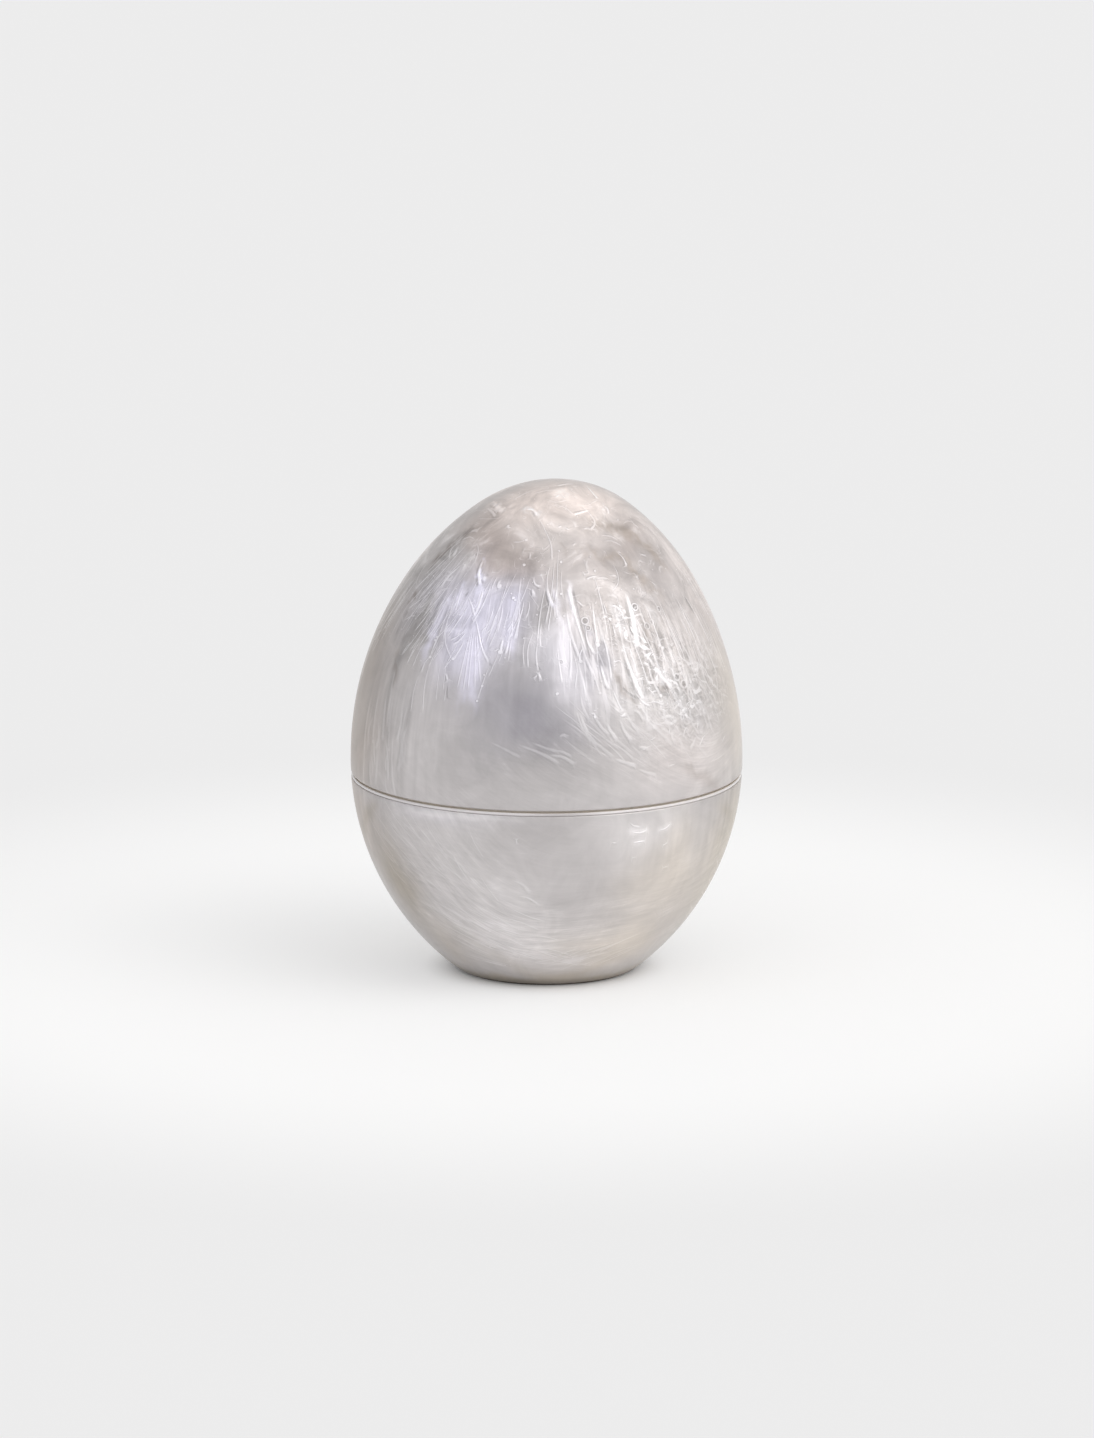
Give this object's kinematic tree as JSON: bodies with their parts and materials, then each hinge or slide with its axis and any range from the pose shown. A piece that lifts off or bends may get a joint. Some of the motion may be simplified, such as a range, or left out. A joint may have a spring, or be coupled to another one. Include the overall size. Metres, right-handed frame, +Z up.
{
  "type": "egg-shaped lidded box",
  "caption": "Egg-shaped ornament box in glossy pearl resin, with a lift-off lid that a locating ring centres on a flat-footed bowl.",
  "frame": {"origin": "centre of the resting face, on the underside of the foot pad", "axes": "+Z up along the egg's axis, towards the crown; X and Y are alike, and the picture is taken along +Y, from above"},
  "size_m": [0.12, 0.12, 0.1514],
  "materials": {
    "lid_resin": "polished pearl resin, streaked",
    "bowl_resin": "polished pearl resin, streaked",
    "clear_ring": "polished clear resin",
    "felt": "dark brown felt"
  },
  "bodies": {
    "base": {"base_bowl": "bowl_resin", "rim_ring": "clear_ring", "foot_pad": "felt"},
    "lid": {"lid_shell": "lid_resin"}
  },
  "joints": [
    {"name": "lid_lift", "type": "slide", "parent": "base", "child": "lid", "axis": [0, 0, 1], "range_m": [0, 0.1]}
  ]
}
